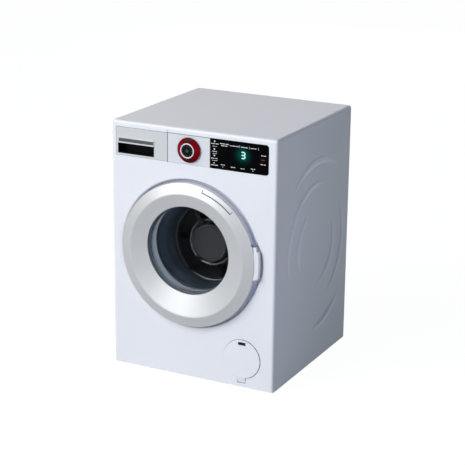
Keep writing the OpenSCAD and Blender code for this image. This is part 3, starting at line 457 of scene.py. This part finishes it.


# grain and edge are in millimetres, and the shade is the function that varies the colour from place to place, mostly as
# painted shade and painted light
whiteGloss = {"colour": (0.79, 0.815, 0.875), "drift": 0.992, "gloss": 0.3, "spread": 0.015, "grain": 0.004,
              "edge": 0.5, "specular": 0.35}
finishes = {
    "whiteShell": {**whiteGloss, "wearColour": (0.72, 0.73, 0.75), "wear": 0.12, "dusty": 0.015, "shade": paintedSideShade},
    "whiteFront": {**whiteGloss, "shade": paintedFrontShade},
    "whiteFlap": {**whiteGloss, "shade": paintedFlapShade},
    "whiteDoor": whiteGloss,
    "whiteInner": {"colour": (0.72, 0.74, 0.78), "drift": 0.96, "gloss": 0.45, "spread": 0.03, "grain": 0.01},
    "tubDark": {"colour": (0.006, 0.0065, 0.008), "drift": 0.85, "gloss": 0.5, "spread": 0.03, "grain": 0.01,
                "specular": 0.05},
    "greyTrim": {"colour": (0.67, 0.708, 0.753), "drift": 0.985, "gloss": 0.38, "spread": 0.02, "grain": 0.006,
                 "edge": 0.3, "specular": 0.35, "wearColour": (0.62, 0.63, 0.66), "wear": 0.15},
    "silverRing": {"colour": (0.5, 0.515, 0.532), "drift": 0.98, "gloss": 0.4, "spread": 0.02, "grain": 0.006,
                   "grainScale": 4200.0, "metallic": 0.43, "edge": 0.5, "wearColour": (0.66, 0.67, 0.69), "wear": 0.2,
                   "shade": paintedRingShade},
    "collarSilver": {"colour": (0.84, 0.85, 0.86), "drift": 0.96, "gloss": 0.3, "spread": 0.03, "metallic": 0.4,
                     "grain": 0.005, "edge": 0.2, "wearColour": (0.6, 0.6, 0.6), "wear": 0.3},
    "silverTrim": {"colour": (0.58, 0.59, 0.61), "drift": 0.96, "gloss": 0.3, "spread": 0.03, "metallic": 0.5,
                   "grain": 0.005, "edge": 0.2, "wearColour": (0.5, 0.5, 0.5), "wear": 0.3},
    "bezelDark": {"colour": (0.035, 0.039, 0.047), "drift": 0.85, "gloss": 0.34, "spread": 0.03, "grain": 0.008,
                  "edge": 0.3, "specular": 0.12, "wearColour": (0.07, 0.07, 0.08), "wear": 0.2},
    "bezelGrey": {"colour": (0.2, 0.225, 0.25), "drift": 0.9, "gloss": 0.4, "spread": 0.03, "grain": 0.008,
                  "edge": 0.3, "specular": 0.2, "wearColour": (0.26, 0.28, 0.3), "wear": 0.2, "shade": paintedBezelShade},
    "gripBlack": {"colour": (0.004, 0.004, 0.005), "drift": 0.7, "gloss": 0.35, "spread": 0.03, "grain": 0.01,
                  "edge": 0.25, "specular": 0.05, "wearColour": (0.02, 0.02, 0.02), "wear": 0.3},
    "sealGrey": {"colour": (0.42, 0.47, 0.53), "drift": 0.93, "gloss": 0.42, "spread": 0.03, "grain": 0.015,
                 "specular": 0.2, "shade": paintedSealShade},
    "drumBlack": {"colour": (0.05, 0.066, 0.088), "drift": 0.85, "gloss": 0.26, "spread": 0.03, "grain": 0.004,
                  "edge": 0.8, "specular": 0.05, "wearColour": (0.03, 0.034, 0.04), "wear": 0.2,
                  "coatGloss": 0.26, "shade": paintedDrumShade},
    "vaneBlack": {"colour": (0.003, 0.0035, 0.0045), "drift": 0.7, "gloss": 0.16, "spread": 0.02, "grain": 0.003,
                  "edge": 0.5, "specular": 0.12, "coat": 0.04, "coatGloss": 0.12},
    "hubGrey": {"colour": (0.026, 0.026, 0.029), "drift": 0.85, "gloss": 0.36, "spread": 0.03, "grain": 0.008,
                "edge": 0.5, "specular": 0.15, "wearColour": (0.06, 0.06, 0.065), "wear": 0.3},
    "drawerGrey": {"colour": (0.585, 0.62, 0.635), "drift": 0.985, "gloss": 0.38, "spread": 0.02, "grain": 0.006,
                   "edge": 0.3, "specular": 0.35, "wearColour": (0.58, 0.59, 0.6), "wear": 0.15},
    "knobRed": {"colour": (0.25, 0.001, 0.007), "drift": 0.9, "gloss": 0.24, "spread": 0.03, "grain": 0.004,
                "edge": 0.3, "specular": 0.04, "wearColour": (0.36, 0.012, 0.03), "wear": 0.2, "shade": paintedKnobShade},
    "capBlack": {"colour": (0.002, 0.0035, 0.0035), "drift": 0.7, "gloss": 0.25, "spread": 0.03, "grain": 0.004,
                 "edge": 0.2, "specular": 0.06, "lines": 0.5, "linePitch": 9000.0,
                 "lineCentre": (front["knobX"], 0, front["knobZ"]), "shade": capShade},
    "footRubber": {"colour": (0.02, 0.02, 0.022), "drift": 0.8, "gloss": 0.75, "grain": 0.03, "edge": 0.3,
                   "specular": 0.2, "dusty": 0.1},
    "platedSteel": {"colour": (0.56, 0.57, 0.58), "drift": 0.85, "gloss": 0.32, "metallic": 1.0, "grain": 0.02,
                    "edge": 0.15, "driftScale": 300.0, "wearColour": (0.4, 0.39, 0.37), "wear": 0.4},
    "turnedBrass": {"colour": (0.72, 0.5, 0.2), "drift": 0.85, "gloss": 0.3, "metallic": 1.0, "grain": 0.02,
                    "edge": 0.15, "driftScale": 300.0},
    "gearWhite": {"colour": (0.76, 0.74, 0.68), "drift": 0.95, "gloss": 0.4, "grain": 0.02, "edge": 0.15},
    "boardGreen": {"colour": (0.015, 0.16, 0.06), "drift": 0.7, "driftScale": 180.0, "gloss": 0.35, "grain": 0.03,
                   "edge": 0.1},
    "cellJacket": {"colour": (0.05, 0.055, 0.06), "drift": 0.8, "gloss": 0.25, "grain": 0.01, "edge": 0.2, "coat": 0.3},
}
made = {name: makeFinish(name, **settings) for name, settings in finishes.items()}


# clear moulding of the door's bowl: shadows pass through it, so that the drum stays lit
lens = {"colour": (0.93, 0.96, 0.98, 1), "ior": 1.06, "specular": 0.2, "gloss": 0.02, "spread": 0.02,
        "grainScale": 700.0, "grain": 0.004, "shadow": (0.9, 0.93, 0.95, 1)}


def makeClearLens():
    material, tree, shader, output = blankMaterial("lensClear")
    shader.inputs["Base Color"].default_value = lens["colour"]
    shader.inputs["Transmission Weight"].default_value = 1.0
    shader.inputs["IOR"].default_value = lens["ior"]
    shader.inputs["Specular IOR Level"].default_value = lens["specular"]
    surface = useGroup(tree, mouldGroup, **{
        "Grain Scale": lens["grainScale"], "Gloss": lens["gloss"], "Gloss Spread": lens["spread"]})
    tree.links.new(mathNode(tree, "MAXIMUM", surface.outputs["Roughness"], 0.0), shader.inputs["Roughness"])
    addGrain(tree, shader, surface.outputs["Height"], lens["grain"])
    clear = addNode(tree, "ShaderNodeBsdfTransparent")
    clear.inputs[0].default_value = lens["shadow"]
    path = addNode(tree, "ShaderNodeLightPath")
    mixShader(tree, path.outputs["Is Shadow Ray"], shader, clear, output)
    return material


# black display lens with the light of the digit and of the small lamp behind it
display = {"colour": (0.0015, 0.0017, 0.0025, 1), "drift": (0.001, 0.001, 0.0015, 1), "gloss": 0.12, "spread": 0.02,
           "driftScale": 40.0, "specular": 0.02, "edge": 0.3, "grain": 0.003, "forward": 0.44, "glow": 0.55,
           "digit": {"at": (55.6, 241.0), "reach": 5.6, "colour": (0.0, 0.15, 0.125, 1)},
           "lamp": {"at": (77.0, 239.0), "reach": 1.8, "colour": (0.05, 0.003, 0.008, 1)}}


def makeDisplayBlack():
    material, tree, shader, _ = blankMaterial("displayBlack")
    surface = useGroup(tree, mouldGroup, **{
        "Colour": display["colour"], "Drift Colour": display["drift"], "Drift Scale": display["driftScale"],
        "Gloss": display["gloss"], "Gloss Spread": display["spread"]})
    shader.inputs["Specular IOR Level"].default_value = display["specular"]
    edges = useGroup(tree, edgeGroup, Radius=display["edge"] * mm)
    addGrain(tree, shader, surface.outputs["Height"], display["grain"], edges)
    tree.links.new(surface.outputs["Colour"], shader.inputs["Base Color"])
    tree.links.new(surface.outputs["Roughness"], shader.inputs["Roughness"])
    y = (front["faceY"] - display["forward"]) * mm
    lit = (0, 0, 0, 1)
    for light in (display["digit"], display["lamp"]):
        x, z = light["at"]
        glow = useGroup(tree, glowGroup, Centre=(x * mm, y, z * mm), Reach=light["reach"] * mm)
        lit = mixColour(tree, glow.outputs["Mask"], lit, light["colour"])
    tree.links.new(lit, shader.inputs["Emission Color"])
    shader.inputs["Emission Strength"].default_value = display["glow"]
    return material


# prints and dark fields: colour, strength of their own light, and gloss
prints = {
    "digitLight": {"colour": (0.38, 0.8, 0.69), "strength": 0.82},
    # the white print glows faintly: a painted light that brightens it
    "markWhite": {"colour": (0.78, 0.8, 0.82), "strength": 0.05},
    "markRed": {"colour": (0.13, 0.014, 0.02), "strength": 0.08},
    "markGreen": {"colour": (0.1, 0.2, 0.17)},
    # painted shadow of the joint over the control strip
    "paintedJointShadow": {"colour": (0.12, 0.125, 0.14), "gloss": 0.5},
    "stripDark": {"colour": (0.06, 0.066, 0.075), "gloss": 0.5},
}


def makePrint(name, colour, strength=0.0, gloss=0.3, drift=0.8, driftScale=400.0):
    material, tree, shader, _ = blankMaterial(name)
    surface = useGroup(tree, mouldGroup, **{
        "Colour": tone(colour), "Drift Colour": tone(colour, drift), "Drift Scale": driftScale, "Gloss": gloss})
    tree.links.new(surface.outputs["Colour"], shader.inputs["Base Color"])
    tree.links.new(surface.outputs["Colour"], shader.inputs["Emission Color"])
    tree.links.new(surface.outputs["Roughness"], shader.inputs["Roughness"])
    shader.inputs["Emission Strength"].default_value = strength
    return material


made["lensClear"] = makeClearLens()
made["displayBlack"] = makeDisplayBlack()
for name, settings in prints.items():
    made[name] = makePrint(name, **settings)

# the pieces that wear each finish
wears = {
    "whiteShell": ["cabinet", "back_panel", "battery_cover"],
    "whiteFront": ["front_panel"],
    "whiteFlap": ["service_flap"],
    "whiteInner": ["base_plate", "drawer_housing", "battery_box", "display_led"],
    "tubDark": ["tub"],
    "whiteDoor": ["door_shell", "door_handle"],
    "drawerGrey": ["drawer_front"],
    "greyTrim": ["control_fascia", "drawer_tray", "gearbox_plate", "door_hinge_bracket", "door_tongue"],
    "silverRing": ["door_ring"],
    "collarSilver": ["knob_collar"],
    "silverTrim": ["drawer_trim"],
    "displayBlack": ["display_window"],
    "bezelGrey": ["window_bezel"],
    "bezelDark": ["rotary_switch", "speaker", "knob_shaft"],
    "gripBlack": ["drawer_grip"],
    "sealGrey": ["door_seal"],
    "drumBlack": ["drum_shell"],
    "vaneBlack": ["drum_lifters"],
    "hubGrey": ["drum_hub_cap"],
    "capBlack": ["start_button", "button_plunger"],
    "lensClear": ["window_lens"],
    "knobRed": ["knob_skirt"],
    "footRubber": ["feet"],
    "platedSteel": ["gearbox_screws", "idler_axle", "motor", "door_hinge_pin", "battery_contacts",
                    "battery_cover_screw", "back_screws", "drum_shaft", "motor_shaft"],
    "turnedBrass": ["drum_bearing", "motor_pinion"],
    "gearWhite": ["drum_gear", "idler_gear"],
    "boardGreen": ["circuit_board"],
    "cellJacket": ["batteries"],
}
for finish, pieces in wears.items():
    for piece in pieces:
        for materialSlot in nodes[piece].material_slots:
            materialSlot.material = made[finish]
print("finishes on", sum(len(pieces) for pieces in wears.values()), "pieces")


# a flat mark that stands in front of the face by its height, from a closed outline of (x, z) points in millimetres
def raisedMark(mesh, outline, height, thick=0.05, material=0):
    low = [mesh.verts.new((x * mm, (front["faceY"] - height) * mm, z * mm)) for x, z in outline]
    high = [mesh.verts.new((x * mm, (front["faceY"] - height - thick) * mm, z * mm)) for x, z in outline]
    faces = [mesh.faces.new(high), mesh.faces.new(list(reversed(low)))]
    for index in range(len(outline)):
        following = (index + 1) % len(outline)
        faces.append(mesh.faces.new((low[index], low[following], high[following], high[index])))
    for face in faces:
        face.material_index = material


# outline of a bar with round ends
def capsule(x0, x1, z, thick, steps=4):
    r = thick / 2
    points = []
    for centre, start in ((x1 - r, -90), (x0 + r, 90)):
        for k in range(steps + 1):
            angle = math.radians(start + 180 * k / steps)
            points.append((centre + r * math.cos(angle), z + r * math.sin(angle)))
    return points


def disc(x, z, r, steps=12):
    angles = [2 * math.pi * k / steps for k in range(steps)]
    return [(x + r * math.cos(angle), z + r * math.sin(angle)) for angle in angles]


def rectangle(x0, x1, z0, z1):
    return [(x0, z0), (x1, z0), (x1, z1), (x0, z1)]


def addObject(name, data):
    item = bpy.data.objects.new(name, data)
    bpy.context.scene.collection.objects.link(item)
    return item


def meshData(name, mesh):
    data = bpy.data.meshes.new(name)
    mesh.to_mesh(data)
    mesh.free()
    return data


def finishPiece(mesh, name, body, materials):
    bmesh.ops.recalc_face_normals(mesh, faces=mesh.faces)
    data = meshData(name, mesh)
    for material in materials:
        data.materials.append(made[material])
    piece = addObject(name, data)
    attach(piece, body)


# short bars stand for lines of print, and dots for symbols: (left, right, height above the ground)
displayMarks = {
    "bars": [(20.7, 29.2, 248.9), (22.0, 27.4, 241.2), (20.6, 28.0, 234.3), (20.6, 28.3, 227.6),
             (30.4, 40.4, 249.9), (31.8, 38.6, 248.0), (41.4, 51.0, 249.0), (53.4, 60.4, 249.0), (63.6, 69.8, 249.0),
             (31.6, 36.0, 228.9), (42.4, 47.2, 227.8), (53.1, 57.2, 227.7), (64.0, 68.8, 228.8),
             (74.7, 80.0, 243.2), (74.1, 79.8, 234.5)],
    "faint": [(22.4, 27.6, 246.4), (22.6, 27.2, 239.1), (22.0, 28.0, 232.3)],
    # centre and radius
    "dots": [(24.7, 251.3, 0.75), (24.4, 243.6, 0.85), (24.5, 237.2, 0.75), (24.3, 229.9, 0.6),
             (33.8, 226.9, 0.45), (66.3, 226.9, 0.45)],
    "ticks": [51.8, 62.2, 71.8], "tickWide": 0.24, "tickFrom": 247.9, "tickTo": 250.4,
    "lamp": (74.8, 79.0, 239.0), "lampThick": 0.6, "barThick": 0.62, "faintThick": 0.3,
    "breakAt": 0.58, "breakWide": 0.5, "height": 0.43,
}


def makeDisplayMarks():
    mesh = bmesh.new()
    height, thick = displayMarks["height"], displayMarks["barThick"]
    gap, tick = displayMarks["breakWide"] / 2, displayMarks["tickWide"] / 2
    for x0, x1, z in displayMarks["bars"]:
        # each bar is broken into two strokes, as words are
        split = x0 + (x1 - x0) * displayMarks["breakAt"]
        raisedMark(mesh, capsule(x0, split - gap, z, thick), height)
        raisedMark(mesh, capsule(split + gap, x1, z, thick), height)
    for x0, x1, z in displayMarks["faint"]:
        raisedMark(mesh, capsule(x0, x1, z, displayMarks["faintThick"]), height)
    for x, z, r in displayMarks["dots"]:
        raisedMark(mesh, disc(x, z, r), height)
    for x in displayMarks["ticks"]:
        raisedMark(mesh, rectangle(x - tick, x + tick, displayMarks["tickFrom"], displayMarks["tickTo"]), height)
    raisedMark(mesh, capsule(*displayMarks["lamp"], displayMarks["lampThick"]), height, material=1)
    finishPiece(mesh, "displayMarks", "cabinet_assembly", ["markWhite", "markRed"])


# the lit digit 3 in seven segments, with a small gap where they meet
digit = {"centre": (55.6, 241.0), "wide": 3.9, "tall": 6.0, "stroke": 1.1, "gap": 0.18, "lit": "abcdg", "height": 0.43}


def makeDigit():
    mesh = bmesh.new()
    cx, cz = digit["centre"]
    w, h, s = digit["wide"] / 2, digit["tall"] / 2, digit["stroke"] / 2
    ends = {"a": ((-w, h), (w, h)), "g": ((-w, 0), (w, 0)), "d": ((-w, -h), (w, -h)),
            "b": ((w, h), (w, 0)), "c": ((w, 0), (w, -h)), "f": ((-w, h), (-w, 0)), "e": ((-w, 0), (-w, -h))}
    for letter in digit["lit"]:
        (x0, z0), (x1, z1) = ends[letter]
        if z0 == z1:
            a, b = x0 + digit["gap"], x1 - digit["gap"]
            outline = [(a, z0), (a + s, z0 - s), (b - s, z0 - s), (b, z0), (b - s, z0 + s), (a + s, z0 + s)]
        else:
            a, b = z0 - digit["gap"], z1 + digit["gap"]
            outline = [(x0, a), (x0 + s, a - s), (x0 + s, b + s), (x0, b), (x0 - s, b + s), (x0 - s, a - s)]
        raisedMark(mesh, [(cx + x, cz + z) for x, z in outline], digit["height"])
    finishPiece(mesh, "displayDigit", "cabinet_assembly", ["digitLight"])


# dark inset field over the drawer's grip
strip = {"left": -83.2, "right": -43.7, "foot": 238.6, "top": 242.1, "height": 0.59, "thick": 0.08}


def makeDrawerStrip():
    mesh = bmesh.new()
    raisedMark(mesh, rectangle(strip["left"], strip["right"], strip["foot"], strip["top"]), strip["height"],
               strip["thick"])
    finishPiece(mesh, "drawerStripField", "drawer", ["stripDark"])


# scale of ticks on the dial's cap
capScale = {"ticks": 12, "inner": 4.5, "outer": 5.4, "wide": 0.34, "height": 4.47, "thick": 0.09}


def makeCapScale():
    mesh = bmesh.new()
    centre = Vector((front["knobX"], front["knobZ"]))
    for k in range(capScale["ticks"]):
        angle = 2 * math.pi * k / capScale["ticks"]
        across = Vector((-math.sin(angle), math.cos(angle))) * capScale["wide"] / 2
        along = Vector((math.cos(angle), math.sin(angle)))
        inner, outer = centre + along * capScale["inner"], centre + along * capScale["outer"]
        corners = [inner - across, outer - across, outer + across, inner + across]
        raisedMark(mesh, corners, capScale["height"], capScale["thick"])
    finishPiece(mesh, "capScale", "button", ["markGreen"])


# painted shadow: a dark strip over the control strip, where it meets the front, stands for the shadow in the joint; it
# lies under the level of the face
jointShadowLine = {"left": -27.5, "right": 19.6, "foot": 253.38, "top": 253.80, "height": -0.36}


def makeJointShadow():
    mesh = bmesh.new()
    raisedMark(mesh, rectangle(jointShadowLine["left"], jointShadowLine["right"], jointShadowLine["foot"], jointShadowLine["top"]), jointShadowLine["height"])
    finishPiece(mesh, "jointShadowStrip", "cabinet_assembly", ["paintedJointShadow"])


makeJointShadow()
makeDisplayMarks()
makeDigit()
makeDrawerStrip()
makeCapScale()
print("marks made")


# 1 for what the camera, gloss and clear pieces see, and 0 for what lights the object
def seenRays(tree):
    rays = addNode(tree, "ShaderNodeLightPath").outputs
    return mathNode(tree, "MAXIMUM", rays["Is Camera Ray"],
                    mathNode(tree, "MAXIMUM", rays["Is Glossy Ray"], rays["Is Transmission Ray"]))


# the floor is seen as a white sweep that still takes the soft shadow
ground = {"size": 14.0, "colour": (0.45, 0.47, 0.47, 1), "gloss": 0.7, "specular": 0.1, "white": 1.14, "share": 0.85}


def makeFloor():
    mesh = bmesh.new()
    half = ground["size"] / 2
    mesh.faces.new([mesh.verts.new((x, y, 0)) for x, y in rectangle(-half, half, -half, half)])
    data = meshData("studioFloor", mesh)
    material, tree, shader, output = blankMaterial("floorWhite")
    shader.inputs["Base Color"].default_value = ground["colour"]
    shader.inputs["Roughness"].default_value = ground["gloss"]
    shader.inputs["Specular IOR Level"].default_value = ground["specular"]
    light = addNode(tree, "ShaderNodeEmission")
    light.inputs["Color"].default_value = (1, 1, 1, 1)
    light.inputs["Strength"].default_value = ground["white"]
    mixShader(tree, mathNode(tree, "MULTIPLY", seenRays(tree), ground["share"]), shader, light, output)
    data.materials.append(material)
    floor = addObject("studioFloor", data)


# a faint bluish sky lights the object, and a white one is seen
sky = {"light": {"tint": (0.74, 0.885, 1.29, 1), "strength": 0.094}, "seen": {"tint": (1, 1, 1, 1), "strength": 1.0}}


def makeBackground(tree, tint, strength):
    background = addNode(tree, "ShaderNodeBackground")
    background.inputs["Color"].default_value = tint
    background.inputs["Strength"].default_value = strength
    return background


def makeWorld():
    world = bpy.data.worlds.new("studioWorld")
    bpy.context.scene.world = world
    world.use_nodes = True
    tree = world.node_tree
    tree.nodes.clear()
    output = addNode(tree, "ShaderNodeOutputWorld", (700, 0))
    light, seen = makeBackground(tree, **sky["light"]), makeBackground(tree, **sky["seen"])
    mixShader(tree, seenRays(tree), light, seen, output)


# soft lamps, all turned to the middle of the object
lampTarget = Vector((0, 0, 0.13))
lamps = {
    "keyLight": {"place": (-1.05, -1.6, 1.5), "size": 1.65, "power": 45.0, "tint": (1.05, 1.02, 0.98)},
    "glintLight": {"place": (-0.66, -2.05, 0.53), "size": 0.7, "power": 6.4, "tint": (1.0, 1.0, 1.0)},
    "fillLight": {"place": (0.85, -1.0, 0.26), "size": 0.5, "power": 2.5, "tint": (0.82, 0.94, 1.14)},
    "backLight": {"place": (-0.75, 2.0, 0.1), "size": 0.3, "power": 4.4, "tint": (0.9, 0.96, 1.06)},
}


def makeLamp(name, place, size, power, tint):
    light = bpy.data.lights.new(name, "AREA")
    light.shape = "SQUARE"
    light.size = size
    light.energy = power
    light.color = tint
    lamp = addObject(name, light)
    lamp.location = place
    lamp.rotation_euler = (lampTarget - Vector(place)).to_track_quat("-Z", "Y").to_euler()


# angles in degrees, places in metres, lens and sensor in millimetres
view = {"azimuth": 26.99, "elevation": 17.25, "roll": 0.62, "distance": 1.5532,
        "target": (-0.0005, 0.0048, 0.131), "lens": 114.76, "sensor": 36}


def makeCamera():
    azimuth, elevation, roll = (math.radians(view[k]) for k in ("azimuth", "elevation", "roll"))
    flat = math.cos(elevation)
    back = Vector((math.sin(azimuth) * flat, -math.cos(azimuth) * flat, math.sin(elevation)))
    right = (-back).cross(Vector((0, 0, 1))).normalized()
    up = right.cross(-back)
    rolledRight = right * math.cos(roll) + up * math.sin(roll)
    rolledUp = up * math.cos(roll) - right * math.sin(roll)
    data = bpy.data.cameras.new("studioCamera")
    data.sensor_width = view["sensor"]
    data.lens = view["lens"]
    camera = addObject("studioCamera", data)
    place = Vector(view["target"]) + back * view["distance"]
    camera.matrix_world = Matrix((
        (rolledRight.x, rolledUp.x, back.x, place.x),
        (rolledRight.y, rolledUp.y, back.y, place.y),
        (rolledRight.z, rolledUp.z, back.z, place.z),
        (0, 0, 0, 1)))
    bpy.context.scene.camera = camera


makeFloor()
makeWorld()
for name, settings in lamps.items():
    makeLamp(name, **settings)
makeCamera()
bpy.context.scene.view_settings.view_transform = "Standard"
print("stage, light and camera ready")
